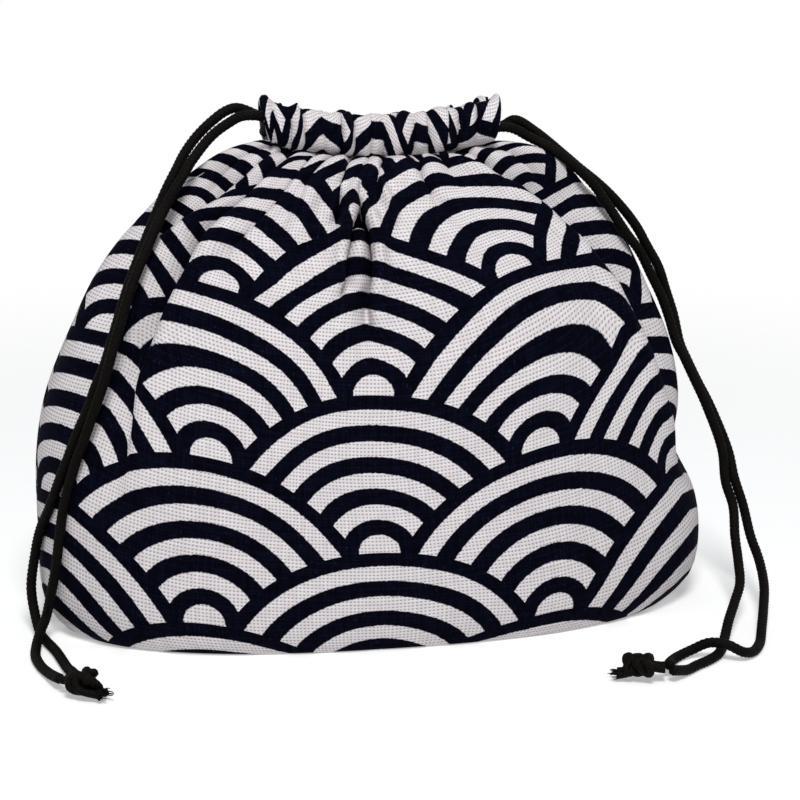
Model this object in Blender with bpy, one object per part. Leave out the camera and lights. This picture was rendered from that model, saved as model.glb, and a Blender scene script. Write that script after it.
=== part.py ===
"""Drawstring pouch with a gathered mouth, standing as if full, and its two braided cords.

Metres, +Z up. The front faces -Y and +X is to the right. The origin is at the middle of the base.
"""
import math

import bmesh
import bpy
from mathutils import Vector

# Body of the pouch
STITCH_HEIGHT = 0.1725
BODY_WIDTH = 0.238
BODY_DEPTH = 0.112
BASE_WIDTH = 0.216
BASE_DEPTH = 0.102
BASE_ROUND = 0.018
CROWN_POWER = 2.3
CROWN_WIDTH_POWER = 0.49
CROWN_DEPTH_POWER = 0.58
CORNER_POWER = 2.4
CLOTH = 0.0011
SEAM_GAP = 0.0003

# Gathered casing, and the cords that run through it
CORD_DIAMETER = 0.0034
CORD_CLEARANCE = 0.0005
CASING_HEIGHT = 0.015
CASING_WIDTH = 0.082
CASING_SHIFT = 0.003
MOUTH_GAP = 0.0064
MOUTH_DIP = 0.0055
MOUTH_LEAN = 0.0025
BACK_DROP = 0.0030
MOUTH_DIP_POWER = 6
CASING_ROUNDING = 0.5
SLIT_START = 0.86
SLIT_FULL = 0.985

# Gathers and folds
RUFFLES = 11
RUFFLE_DEPTH = 0.0026
INNER_RUFFLE_DEPTH = 0.0007
GATHER_DEPTH = 0.0024
GATHER_FOOT = 0.72
GATHER_FULL = 0.97
GATHER_AT_STITCH = 0.4
FOLD_TOP = 0.95
FOLD_RAMP = 0.45
PLEAT_DEPTH = 0.011
FOLD_DEPTH = 0.005

# Each long fold: side, place across at the casing and at its foot, half width, foot height share, depth
FOLDS = (
    (-1, -0.06, 0.02, 0.10, 0.62, -PLEAT_DEPTH),
    (-1, -0.60, -0.45, 0.10, 0.42, FOLD_DEPTH),
    (-1, -0.36, -0.26, 0.10, 0.66, -FOLD_DEPTH),
    (-1, 0.46, 0.40, 0.12, 0.74, -FOLD_DEPTH),
    (1, -0.10, -0.04, 0.10, 0.60, -PLEAT_DEPTH),
    (1, 0.55, 0.42, 0.12, 0.55, -FOLD_DEPTH),
    (1, -0.58, -0.46, 0.12, 0.58, -FOLD_DEPTH),
)

# Where each cord turns back outside the casing's far end
TURN_RUN = 0.0035
LEFT_TURN_RISE = 0.001
RIGHT_TURN_RISE = -0.005

# Free strands, each from the casing to its knot, by points chosen along the cord
LEFT_FRONT_STRAND = (
    (-0.0440, -0.0065, 0.1816), (-0.0486, -0.0062, 0.1794), (-0.0546, -0.0056, 0.1749),
    (-0.0622, -0.0103, 0.1672), (-0.0654, -0.0126, 0.1628), (-0.0687, -0.0148, 0.1584),
    (-0.0718, -0.0165, 0.1534), (-0.0771, -0.0215, 0.1443), (-0.0847, -0.0280, 0.1294),
    (-0.0914, -0.0320, 0.1108), (-0.0942, -0.0335, 0.1021), (-0.0966, -0.0340, 0.0947),
    (-0.0992, -0.0340, 0.0877), (-0.1021, -0.0330, 0.0794), (-0.1060, -0.0320, 0.0689),
    (-0.1088, -0.0300, 0.0595), (-0.1112, -0.0284, 0.0493), (-0.1129, -0.0280, 0.0383),
    (-0.1144, -0.0268, 0.0276), (-0.1167, -0.0246, 0.0155), (-0.1183, -0.0230, 0.0085),
    (-0.1204, -0.0268, 0.0052), (-0.1222, -0.0340, 0.0027), (-0.1228, -0.0415, 0.0018),
    (-0.1214, -0.0510, 0.0018), (-0.1190, -0.0595, 0.0024), (-0.1172, -0.0660, 0.0036),
    (-0.1158, -0.0704, 0.0045),
)
LEFT_BACK_STRAND = (
    (-0.0440, 0.0065, 0.1822), (-0.0480, 0.0052, 0.1817), (-0.0538, 0.0036, 0.1781),
    (-0.0595, 0.0016, 0.1731), (-0.0640, -0.0030, 0.1684), (-0.0674, -0.0086, 0.1640),
    (-0.0706, -0.0112, 0.1590), (-0.0733, -0.0124, 0.1537), (-0.0780, -0.0176, 0.1446),
    (-0.0854, -0.0242, 0.1292), (-0.0922, -0.0282, 0.1105), (-0.0954, -0.0296, 0.1012),
    (-0.0988, -0.0302, 0.0937), (-0.1012, -0.0302, 0.0871), (-0.1048, -0.0296, 0.0789),
    (-0.1090, -0.0280, 0.0679), (-0.1125, -0.0262, 0.0585), (-0.1155, -0.0222, 0.0490),
    (-0.1188, -0.0156, 0.0387), (-0.1207, -0.0114, 0.0287), (-0.1225, -0.0106, 0.0157),
    (-0.1216, -0.0140, 0.0068), (-0.1203, -0.0205, 0.0024), (-0.1184, -0.0280, 0.0018),
    (-0.1157, -0.0375, 0.0018), (-0.1138, -0.0475, 0.0018), (-0.1124, -0.0560, 0.0022),
    (-0.1112, -0.0630, 0.0036), (-0.1107, -0.0686, 0.0048),
)
RIGHT_FRONT_STRAND = (
    (0.0500, -0.0063, 0.1747), (0.0577, -0.0056, 0.1708), (0.0650, -0.0083, 0.1669),
    (0.0743, -0.0093, 0.1597), (0.0801, -0.0088, 0.1539), (0.0845, -0.0090, 0.1477),
    (0.0926, -0.0080, 0.1358), (0.0988, -0.0048, 0.1279), (0.1033, -0.0036, 0.1194),
    (0.1072, -0.0040, 0.1115), (0.1104, -0.0044, 0.1030), (0.1130, -0.0057, 0.0942),
    (0.1158, -0.0072, 0.0885), (0.1192, -0.0090, 0.0809), (0.1232, -0.0105, 0.0721),
    (0.1296, -0.0125, 0.0544), (0.1306, -0.0152, 0.0426), (0.1329, -0.0180, 0.0340),
    (0.1321, -0.0240, 0.0249), (0.1308, -0.0330, 0.0185), (0.1286, -0.0430, 0.0133),
    (0.1244, -0.0510, 0.0095), (0.1196, -0.0600, 0.0062), (0.1158, -0.0680, 0.0030),
    (0.1128, -0.0748, 0.0018), (0.1096, -0.0806, 0.0018), (0.1050, -0.0852, 0.0018),
    (0.0998, -0.0890, 0.0018), (0.0952, -0.0930, 0.0020), (0.0914, -0.0964, 0.0034),
    (0.0882, -0.0990, 0.0046),
)
RIGHT_BACK_STRAND = (
    (0.0500, 0.0065, 0.1730), (0.0545, 0.0055, 0.1752), (0.0617, 0.0030, 0.1711),
    (0.0711, -0.0005, 0.1633), (0.0771, -0.0008, 0.1581), (0.0827, -0.0008, 0.1536),
    (0.0881, -0.0015, 0.1486), (0.0943, -0.0020, 0.1416), (0.0985, -0.0020, 0.1358),
    (0.1019, -0.0016, 0.1298), (0.1070, -0.0008, 0.1209), (0.1101, -0.0004, 0.1121),
    (0.1131, -0.0006, 0.1032), (0.1156, -0.0018, 0.0923), (0.1180, -0.0033, 0.0865),
    (0.1213, -0.0054, 0.0792), (0.1261, -0.0071, 0.0697), (0.1329, -0.0098, 0.0527),
    (0.1342, -0.0140, 0.0438), (0.1373, -0.0160, 0.0336), (0.1391, -0.0206, 0.0232),
    (0.1397, -0.0300, 0.0169), (0.1380, -0.0420, 0.0116), (0.1345, -0.0530, 0.0077),
    (0.1305, -0.0640, 0.0042), (0.1272, -0.0725, 0.0018), (0.1226, -0.0800, 0.0018),
    (0.1176, -0.0838, 0.0034), (0.1120, -0.0830, 0.0062), (0.1066, -0.0798, 0.0060),
    (0.1010, -0.0778, 0.0030), (0.0958, -0.0798, 0.0018), (0.0920, -0.0845, 0.0022),
    (0.0896, -0.0900, 0.0036), (0.0882, -0.0946, 0.0048),
)

# Knots: middle on the floor, heading from the cord to the tail in degrees, and overall size
LEFT_KNOT_PLACE = (-0.1071, -0.0781)
LEFT_KNOT_HEADING = -42
RIGHT_KNOT_PLACE = (0.0766, -0.0948)
RIGHT_KNOT_HEADING = 166
KNOT_LENGTH = 0.0200
KNOT_WIDTH = 0.0120
KNOT_HEIGHT = 0.0112

# Each cut through a knot: place along it, and its share of the full width
KNOT_PROFILE = ((0, 0.42), (0.06, 0.72), (0.2, 0.94), (0.38, 1), (0.55, 0.88), (0.68, 0.6), (0.76, 0.42),
                (0.88, 0.46), (1, 0.36))
KNOT_GROOVE = 0.10
KNOT_TWIST = 4.5
FLOOR_CLEARANCE = 0.0001

# Stations along each half of a casing, and steps round a turn, that a cord's route passes
CASING_STATIONS = (0.2, 0.6, 1.0)
TURN_STEPS = 6

# Mesh density
COLUMNS_PER_RUFFLE = 4
CROWN_ROWS = 10
ROUND_ROWS = 3
RING_POINTS = 8
CORD_STEP = 3.0
CORD_FINE_STEPS = 24
KNOT_SIDES = 14
MERGE_DISTANCE = 0.000001
NORMAL_STEP = 0.004

CHANNEL_HALF = CORD_DIAMETER / 2 + CORD_CLEARANCE
CASING_PLANE = MOUTH_GAP / 2 + CLOTH + CHANNEL_HALF
CASING_MIDDLE = STITCH_HEIGHT + CASING_HEIGHT / 2

FRONT = -1
BACK = 1
LEFT = -1
RIGHT = 1


def smooth_step(low, high, value):
    share = min(max((value - low) / (high - low), 0.0), 1.0)
    return share * share * (3 - 2 * share)


def fullness(height):
    """How far the body has filled out: 0 at the stitch line, 1 at the floor."""
    return max(1 - (height / STITCH_HEIGHT) ** CROWN_POWER, 0.0)


def base_tuck(height):
    """How far the wall has turned in under the body: 1 at the floor, 0 above the rounding."""
    rise = min(height / BASE_ROUND, 1.0)
    return 1 - math.sqrt(1 - (1 - rise) ** 2)


def half_width(height):
    filled = CASING_WIDTH / 2 + (BODY_WIDTH - CASING_WIDTH) / 2 * fullness(height) ** CROWN_WIDTH_POWER
    return filled - (BODY_WIDTH - BASE_WIDTH) / 2 * base_tuck(height)


def half_depth(height):
    filled = CASING_PLANE + (BODY_DEPTH / 2 - CASING_PLANE) * fullness(height) ** CROWN_DEPTH_POWER
    return filled - (BODY_DEPTH - BASE_DEPTH) / 2 * base_tuck(height)


def seam_offset(height):
    """The panel's side edge: at the seam, and above it where the side slit opens to the casing."""
    opening = smooth_step(SLIT_START, SLIT_FULL, height / STITCH_HEIGHT)
    return SEAM_GAP / 2 + (CASING_PLANE - SEAM_GAP / 2) * opening


def mouth_dip(side, across, height):
    """How far the mouth hangs: most at its middle, more to the right, and more along the back."""
    drop = MOUTH_DIP * (1 - across ** 2) + MOUTH_LEAN * (1 + across) / 2
    if side == BACK:
        drop += BACK_DROP
    return drop * (height / STITCH_HEIGHT) ** MOUTH_DIP_POWER


def smooth_point(side, across, height):
    """The panel without its folds. across runs from -1 at the left seam to 1 at the right seam."""
    filled = fullness(height) ** CROWN_WIDTH_POWER
    angle = across * math.pi / 2
    rounded = math.copysign(abs(math.sin(angle)) ** (2 / CORNER_POWER), across)
    bulge = max(math.cos(angle), 0.0) ** (2 / CORNER_POWER)
    edge = seam_offset(height)
    x = half_width(height) * (across + filled * (rounded - across)) + CASING_SHIFT * (1 - filled)
    y = side * (edge + (half_depth(height) - edge) * bulge)
    return Vector((x, y, height - mouth_dip(side, across, height)))


def smooth_normal(side, across, height):
    """The outward direction of the smooth panel, kept in the seam's plane at the two seams."""
    left = smooth_point(side, max(across - NORMAL_STEP, -1), height)
    right = smooth_point(side, min(across + NORMAL_STEP, 1), height)
    rise = NORMAL_STEP * STITCH_HEIGHT
    low = smooth_point(side, across, max(height - rise, 0))
    high = smooth_point(side, across, min(height + rise, STITCH_HEIGHT))
    normal = (right - left).cross(high - low) * -side
    if abs(across) == 1:
        normal.y = 0
        normal.x = abs(normal.x) * across
    return normal.normalized()


def ruffle(across):
    """Gathers across the panel: 0 at the seams and in each valley, 1 on each crest."""
    return 0.5 - 0.5 * math.cos(math.pi * RUFFLES * (across + 1))


def fold(side, across, height):
    """How far the cloth stands proud of the smooth panel, or is sunk below it."""
    share = height / STITCH_HEIGHT
    below_casing = smooth_step(1.0, FOLD_TOP, share)
    gather = GATHER_AT_STITCH + (1 - GATHER_AT_STITCH) * below_casing
    rise = GATHER_DEPTH * ruffle(across) * smooth_step(GATHER_FOOT, GATHER_FULL, share) * gather
    for fold_side, top, foot, reach, foot_share, depth in FOLDS:
        if fold_side != side or share < foot_share:
            continue
        along = (share - foot_share) / (1 - foot_share)
        place = (across - foot - (top - foot) * along) / reach
        if abs(place) < 1:
            rise += depth * (1 - place ** 2) ** 2 * smooth_step(0, FOLD_RAMP, along) * below_casing
    return rise


def wall_heights():
    rounding = [BASE_ROUND * (1 - math.cos(math.pi / 2 * row / ROUND_ROWS)) for row in range(ROUND_ROWS)]
    first = math.asin((BASE_ROUND / STITCH_HEIGHT) ** (CROWN_POWER / 2))
    crown = []
    for row in range(CROWN_ROWS):
        angle = first + (math.pi / 2 - first) * row / CROWN_ROWS
        crown.append(STITCH_HEIGHT * math.sin(angle) ** (2 / CROWN_POWER))
    return rounding + crown


def casing_point(side, across, turn, wall):
    """A point round the casing's tube; turn 0 is its outer side and a quarter turn is its top."""
    outward = math.copysign(abs(math.cos(turn)) ** CASING_ROUNDING, math.cos(turn))
    upward = math.copysign(abs(math.sin(turn)) ** CASING_ROUNDING, math.sin(turn))
    lean = RUFFLE_DEPTH * max(math.cos(turn), 0) + INNER_RUFFLE_DEPTH * min(math.cos(turn), 0)
    y = CASING_PLANE + (CHANNEL_HALF + wall) * outward + lean * ruffle(across)
    z = CASING_MIDDLE - mouth_dip(side, across, STITCH_HEIGHT) + (CASING_HEIGHT / 2 - CLOTH + wall) * upward
    x = CASING_WIDTH / 2 * across + CASING_SHIFT
    return Vector((x, side * y, z))


def panel_section(side, across):
    """One cut through a panel: the closed outline of its cloth, and the outline of its cord channel."""
    outer = []
    inner = []
    for height in wall_heights():
        skin = smooth_point(side, across, height)
        normal = smooth_normal(side, across, height)
        rise = fold(side, across, height)
        outer.append(skin + normal * rise)
        inner.append(skin + normal * (rise - CLOTH))
    inner[0].z = CLOTH
    stitch = smooth_point(side, across, STITCH_HEIGHT)
    outer.append(stitch + Vector((0, side * CLOTH, 0)))
    inner.append(stitch - Vector((0, side * CLOTH, 0)))
    turns = [math.pi * (2 * step / RING_POINTS - 0.5) for step in range(RING_POINTS)]
    ring = [casing_point(side, across, turn, CLOTH) for turn in turns[1:]]
    channel = [casing_point(side, across, turn, 0) for turn in turns]
    seam_out = Vector((outer[0].x, side * SEAM_GAP / 2, 0))
    seam_in = Vector((inner[0].x, side * SEAM_GAP / 2, CLOTH))
    return [seam_out] + outer, ring, [seam_in] + inner, channel


def end_cap(mesh, outer, ring, inner, channel):
    """Closes the panel's side edge, leaving the casing's channel open."""
    for low in range(len(outer) - 1):
        mesh.faces.new((outer[low], outer[low + 1], inner[low + 1], inner[low]))
    mesh.faces.new((outer[-1], inner[-1], channel[0]))
    around = [outer[-1]] + ring + [inner[-1]]
    for step in range(RING_POINTS):
        after = channel[(step + 1) % RING_POINTS]
        mesh.faces.new((around[step], around[step + 1], after, channel[step]))


def make_panel(name, side, material):
    """One cloth panel with its half of the base and its turned-in casing, as one closed solid."""
    mesh = bmesh.new()
    count = RUFFLES * COLUMNS_PER_RUFFLE
    columns = []
    for column in range(count + 1):
        section = panel_section(side, 2 * column / count - 1)
        columns.append([[mesh.verts.new(point) for point in line] for line in section])
    for left, right in zip(columns, columns[1:]):
        here = left[0] + left[1] + left[2][::-1]
        there = right[0] + right[1] + right[2][::-1]
        for near, far in ((here, there), (left[3], right[3])):
            for step in range(len(near)):
                after = (step + 1) % len(near)
                mesh.faces.new((near[step], near[after], far[after], far[step]))
    end_cap(mesh, *columns[0])
    end_cap(mesh, *columns[-1])
    bmesh.ops.remove_doubles(mesh, verts=mesh.verts, dist=MERGE_DISTANCE)
    bmesh.ops.recalc_face_normals(mesh, faces=mesh.faces)
    return add_object(name, mesh, material)


def casing_route(side, end, level):
    """A cord's run through one casing, from the mouth's middle towards one end."""
    height = level * (CORD_DIAMETER / 2 + CORD_CLEARANCE)
    points = []
    for across in CASING_STATIONS:
        z = CASING_MIDDLE - mouth_dip(side, across * end, STITCH_HEIGHT) + height
        points.append(Vector((CASING_WIDTH / 2 * across * end + CASING_SHIFT, side * CASING_PLANE, z)))
    return points


def turn_route(end, level, rise):
    """The half circle in which a cord passes from one casing to the other."""
    start = casing_route(FRONT, end, level)[-1]
    finish = casing_route(BACK, end, level)[-1]
    points = []
    for step in range(TURN_STEPS + 1):
        angle = math.pi * (step / TURN_STEPS - 0.5)
        middle = start.lerp(finish, 0.5 + 0.5 * math.sin(angle))
        reach = TURN_RUN + CASING_PLANE * math.cos(angle)
        points.append(middle + Vector((end * reach, 0, rise * math.cos(angle))))
    return points


def cord_route(front_strand, back_strand, end, level, rise):
    """A whole cord: one knot end, the front casing, the turn, the back casing, the other knot end."""
    front = [Vector(point) for point in front_strand]
    back = [Vector(point) for point in back_strand]
    front_run = casing_route(FRONT, end, level)[::-1] + casing_route(FRONT, -end, level)
    back_run = casing_route(BACK, -end, level)[::-1] + casing_route(BACK, end, level)
    return front[::-1] + front_run + turn_route(-end, level, rise) + back_run + back


def smooth_route(points):
    """Evenly spaced points on a smooth curve through the given points, clear of the floor."""
    padded = [2 * points[0] - points[1]] + points + [2 * points[-1] - points[-2]]
    fine = []
    for before, start, finish, after in zip(padded, padded[1:], padded[2:], padded[3:]):
        knots = [0.0]
        for first, second in ((before, start), (start, finish), (finish, after)):
            knots.append(knots[-1] + math.sqrt((second - first).length))
        for step in range(CORD_FINE_STEPS):
            at = knots[1] + (knots[2] - knots[1]) * step / CORD_FINE_STEPS
            fine.append(curve_point((before, start, finish, after), knots, at))
    fine.append(points[-1])
    lengths = [0.0]
    for first, second in zip(fine, fine[1:]):
        lengths.append(lengths[-1] + (second - first).length)
    count = round(lengths[-1] / (CORD_STEP * CORD_DIAMETER))
    even = []
    index = 0
    for step in range(count + 1):
        target = lengths[-1] * step / count
        while index < len(fine) - 2 and lengths[index + 1] < target:
            index += 1
        share = (target - lengths[index]) / (lengths[index + 1] - lengths[index])
        point = fine[index].lerp(fine[index + 1], share)
        point.z = max(point.z, CORD_DIAMETER / 2 + FLOOR_CLEARANCE)
        even.append(point)
    return even


def blend(first, second, low, high, at):
    return first.lerp(second, (at - low) / (high - low))


def curve_point(points, knots, at):
    """A point between the middle two of four points, on a Catmull-Rom curve."""
    near = [blend(points[i], points[i + 1], knots[i], knots[i + 1], at) for i in range(3)]
    far = [blend(near[i], near[i + 1], knots[i], knots[i + 2], at) for i in range(2)]
    return blend(far[0], far[1], knots[1], knots[2], at)


def make_cord(name, route, material):
    data = bpy.data.curves.new(name, "CURVE")
    data.dimensions = "3D"
    data.bevel_depth = CORD_DIAMETER / 2
    data.bevel_resolution = 2
    data.use_fill_caps = True
    points = smooth_route(route)
    spline = data.splines.new("POLY")
    spline.points.add(len(points) - 1)
    for place, point in zip(spline.points, points):
        place.co = (*point, 1)
    data.materials.append(material)
    item = bpy.data.objects.new(name, data)
    bpy.context.scene.collection.objects.link(item)
    return item


def make_knot(name, place, heading, material):
    """An overhand knot's outer shape with its cut tail, lying on the floor."""
    turn = math.radians(heading)
    along = Vector((math.cos(turn), math.sin(turn), 0))
    sideways = Vector((-along.y, along.x, 0))
    start = Vector((*place, KNOT_HEIGHT / 2 + FLOOR_CLEARANCE)) - along * KNOT_LENGTH / 2
    mesh = bmesh.new()
    rings = []
    for share, size in KNOT_PROFILE:
        ring = []
        for step in range(KNOT_SIDES):
            angle = 2 * math.pi * step / KNOT_SIDES
            groove = 1 - KNOT_GROOVE * (0.5 + 0.5 * math.cos(2 * angle + KNOT_TWIST * share))
            offset = sideways * (KNOT_WIDTH / 2 * math.cos(angle))
            offset.z = KNOT_HEIGHT / 2 * math.sin(angle)
            ring.append(mesh.verts.new(start + along * (KNOT_LENGTH * share) + offset * (size * groove)))
        rings.append(ring)
    for here, there in zip(rings, rings[1:]):
        for step in range(KNOT_SIDES):
            after = (step + 1) % KNOT_SIDES
            mesh.faces.new((here[step], here[after], there[after], there[step]))
    mesh.faces.new(rings[0])
    mesh.faces.new(rings[-1])
    bmesh.ops.recalc_face_normals(mesh, faces=mesh.faces)
    return add_object(name, mesh, material)


def add_object(name, mesh, material):
    data = bpy.data.meshes.new(name)
    mesh.to_mesh(data)
    mesh.free()
    data.materials.append(material)
    data.shade_smooth()
    item = bpy.data.objects.new(name, data)
    bpy.context.scene.collection.objects.link(item)
    return item


def make_material(name, colour, roughness):
    material = bpy.data.materials.new(name)
    material.use_nodes = True
    shader = material.node_tree.nodes["Principled BSDF"]
    shader.inputs["Base Color"].default_value = (*colour, 1)
    shader.inputs["Roughness"].default_value = roughness
    shader.inputs["Metallic"].default_value = 0
    return material


def clear_scene():
    for item in list(bpy.data.objects):
        bpy.data.objects.remove(item)


def main():
    clear_scene()
    cotton = make_material("cotton", (0.03, 0.04, 0.10), 0.85)
    make_panel("front_panel", FRONT, cotton)
    make_panel("back_panel", BACK, cotton)
    black = make_material("black_cord", (0.012, 0.011, 0.011), 0.8)
    left_route = cord_route(LEFT_FRONT_STRAND, LEFT_BACK_STRAND, LEFT, 1, LEFT_TURN_RISE)
    right_route = cord_route(RIGHT_FRONT_STRAND, RIGHT_BACK_STRAND, RIGHT, -1, RIGHT_TURN_RISE)
    make_cord("drawcord_left", left_route, black)
    make_cord("drawcord_right", right_route, black)
    make_knot("knot_left", LEFT_KNOT_PLACE, LEFT_KNOT_HEADING, black)
    make_knot("knot_right", RIGHT_KNOT_PLACE, RIGHT_KNOT_HEADING, black)


main()
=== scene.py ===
"""Looks of a gathered drawstring pouch: printed cotton panels, braided cords and their knots.

Metres, +Z up, in the frame of the solids. The front faces -Y and +X is to the right.
"""
import math
import random

import bpy
import numpy as np
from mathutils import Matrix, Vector, noise


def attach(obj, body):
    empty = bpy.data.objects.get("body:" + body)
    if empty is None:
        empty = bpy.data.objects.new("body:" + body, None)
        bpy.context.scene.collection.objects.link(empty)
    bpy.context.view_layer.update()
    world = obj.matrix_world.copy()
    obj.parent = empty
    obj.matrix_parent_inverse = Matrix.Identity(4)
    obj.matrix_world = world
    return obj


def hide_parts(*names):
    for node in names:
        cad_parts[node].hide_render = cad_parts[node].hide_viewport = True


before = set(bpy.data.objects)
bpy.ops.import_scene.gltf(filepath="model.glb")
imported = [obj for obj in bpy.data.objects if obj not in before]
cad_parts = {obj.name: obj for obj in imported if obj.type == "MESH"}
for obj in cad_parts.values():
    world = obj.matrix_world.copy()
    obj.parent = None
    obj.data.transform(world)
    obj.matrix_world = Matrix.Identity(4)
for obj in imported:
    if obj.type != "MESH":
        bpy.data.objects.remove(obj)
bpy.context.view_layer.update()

# Sizes of the solids, repeated here because only the frame is read
STITCH_HEIGHT = 0.1725
BODY_WIDTH = 0.238
BODY_DEPTH = 0.112
BASE_WIDTH = 0.216
BASE_DEPTH = 0.102
BASE_ROUND = 0.018
CROWN_POWER = 2.3
CROWN_WIDTH_POWER = 0.49
CROWN_DEPTH_POWER = 0.58
CORNER_POWER = 2.4
SEAM_GAP = 0.0003
CORD_DIAMETER = 0.0034
CORD_CLEARANCE = 0.0005
CASING_HEIGHT = 0.015
CASING_WIDTH = 0.082
CASING_SHIFT = 0.003
CASING_PLANE = 0.0065
CASING_MIDDLE = STITCH_HEIGHT + CASING_HEIGHT / 2
CHANNEL_HALF = CORD_DIAMETER / 2 + CORD_CLEARANCE
MOUTH_DIP = 0.0055
MOUTH_LEAN = 0.0025
BACK_DROP = 0.0030
MOUTH_DIP_POWER = 6
CASING_ROUNDING = 0.74
END_RISE = 0.0018
END_SHIFT = 0.0015
END_TUCK = 0.0009
INNER_SHORTER = 0.05
SLIT_START = 0.86
SLIT_FULL = 0.985

# Cloth
THICKNESS = 0.0006
FLAT_WIDTH = 0.282

# Mesh density
COLUMNS = 270
WALL_ROWS = 108
ROUND_ROWS = 7
BASE_ROWS = 7
CASING_ROWS = 22
HEM_ROWS = 3
CORD_SIDES = 30
CORD_RING_STEP = 0.00032

FRONT = -1
BACK = 1

# Free strands, each from the casing to its knot, by points chosen along the cord
LEFT_FRONT_STRAND = (
    (-0.0440, -0.0065, 0.1816), (-0.0486, -0.0062, 0.1794), (-0.0546, -0.0056, 0.1749),
    (-0.0622, -0.0103, 0.1672), (-0.0654, -0.0126, 0.1628), (-0.0687, -0.0148, 0.1584),
    (-0.0718, -0.0165, 0.1534), (-0.0771, -0.0215, 0.1443), (-0.0847, -0.0280, 0.1294),
    (-0.0914, -0.0320, 0.1108), (-0.0942, -0.0335, 0.1021), (-0.0966, -0.0340, 0.0947),
    (-0.0992, -0.0340, 0.0877), (-0.1021, -0.0330, 0.0794), (-0.1060, -0.0320, 0.0689),
    (-0.1088, -0.0300, 0.0595), (-0.1112, -0.0284, 0.0493), (-0.1129, -0.0280, 0.0383),
    (-0.1144, -0.0268, 0.0276), (-0.1167, -0.0246, 0.0155), (-0.1183, -0.0230, 0.0085),
    (-0.1204, -0.0268, 0.0052), (-0.1222, -0.0340, 0.0027), (-0.1228, -0.0415, 0.0018),
    (-0.1214, -0.0510, 0.0018), (-0.1190, -0.0595, 0.0024), (-0.1172, -0.0660, 0.0036),
    (-0.1158, -0.0704, 0.0045),
)
LEFT_BACK_STRAND = (
    (-0.0440, 0.0065, 0.1822), (-0.0480, 0.0052, 0.1817), (-0.0538, 0.0036, 0.1781),
    (-0.0595, 0.0016, 0.1731), (-0.0640, -0.0030, 0.1684), (-0.0674, -0.0086, 0.1640),
    (-0.0706, -0.0112, 0.1590), (-0.0733, -0.0124, 0.1537), (-0.0780, -0.0176, 0.1446),
    (-0.0854, -0.0242, 0.1292), (-0.0922, -0.0282, 0.1105), (-0.0954, -0.0296, 0.1012),
    (-0.0988, -0.0302, 0.0937), (-0.1012, -0.0302, 0.0871), (-0.1048, -0.0296, 0.0789),
    (-0.1090, -0.0280, 0.0679), (-0.1125, -0.0262, 0.0585), (-0.1155, -0.0222, 0.0490),
    (-0.1188, -0.0156, 0.0387), (-0.1207, -0.0114, 0.0287), (-0.1225, -0.0106, 0.0157),
    (-0.1216, -0.0140, 0.0068), (-0.1203, -0.0205, 0.0024), (-0.1184, -0.0280, 0.0018),
    (-0.1157, -0.0375, 0.0018), (-0.1138, -0.0475, 0.0018), (-0.1124, -0.0560, 0.0022),
    (-0.1112, -0.0630, 0.0036), (-0.1107, -0.0686, 0.0048),
)
RIGHT_FRONT_STRAND = (
    (0.0500, -0.0063, 0.1747), (0.0577, -0.0056, 0.1708), (0.0650, -0.0083, 0.1669),
    (0.0743, -0.0093, 0.1597), (0.0801, -0.0088, 0.1539), (0.0845, -0.0090, 0.1477),
    (0.0926, -0.0080, 0.1358), (0.0988, -0.0048, 0.1279), (0.1033, -0.0036, 0.1194),
    (0.1072, -0.0040, 0.1115), (0.1104, -0.0044, 0.1030), (0.1130, -0.0057, 0.0942),
    (0.1158, -0.0072, 0.0885), (0.1192, -0.0090, 0.0809), (0.1232, -0.0105, 0.0721),
    (0.1296, -0.0125, 0.0544), (0.1306, -0.0152, 0.0426), (0.1329, -0.0180, 0.0340),
    (0.1321, -0.0240, 0.0249), (0.1308, -0.0330, 0.0185), (0.1286, -0.0430, 0.0133),
    (0.1244, -0.0510, 0.0095), (0.1196, -0.0600, 0.0062), (0.1158, -0.0680, 0.0030),
    (0.1128, -0.0748, 0.0018), (0.1096, -0.0806, 0.0018), (0.1050, -0.0852, 0.0018),
    (0.0998, -0.0890, 0.0018), (0.0952, -0.0930, 0.0020), (0.0914, -0.0964, 0.0034),
    (0.0882, -0.0990, 0.0046),
)
RIGHT_BACK_STRAND = (
    (0.0500, 0.0065, 0.1730), (0.0545, 0.0055, 0.1752), (0.0617, 0.0030, 0.1711),
    (0.0711, -0.0005, 0.1633), (0.0771, -0.0008, 0.1581), (0.0827, -0.0008, 0.1536),
    (0.0881, -0.0015, 0.1486), (0.0943, -0.0020, 0.1416), (0.0985, -0.0020, 0.1358),
    (0.1019, -0.0016, 0.1298), (0.1070, -0.0008, 0.1209), (0.1101, -0.0004, 0.1121),
    (0.1131, -0.0006, 0.1032), (0.1156, -0.0018, 0.0923), (0.1180, -0.0033, 0.0865),
    (0.1213, -0.0054, 0.0792), (0.1261, -0.0071, 0.0697), (0.1329, -0.0098, 0.0527),
    (0.1342, -0.0140, 0.0438), (0.1373, -0.0160, 0.0336), (0.1391, -0.0206, 0.0232),
    (0.1397, -0.0300, 0.0169), (0.1380, -0.0420, 0.0116), (0.1345, -0.0530, 0.0077),
    (0.1305, -0.0640, 0.0042), (0.1272, -0.0725, 0.0018), (0.1226, -0.0800, 0.0018),
    (0.1176, -0.0838, 0.0034), (0.1120, -0.0830, 0.0062), (0.1066, -0.0798, 0.0060),
    (0.1010, -0.0778, 0.0030), (0.0958, -0.0798, 0.0018), (0.0920, -0.0845, 0.0022),
    (0.0896, -0.0900, 0.0036), (0.0882, -0.0946, 0.0048),
)
LEFT_KNOT_PLACE = (-0.1071, -0.0781)
LEFT_KNOT_HEADING = -42
RIGHT_KNOT_PLACE = (0.0766, -0.0948)
RIGHT_KNOT_HEADING = 166
KNOT_LENGTH = 0.0200
KNOT_HEIGHT = 0.0112


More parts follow.
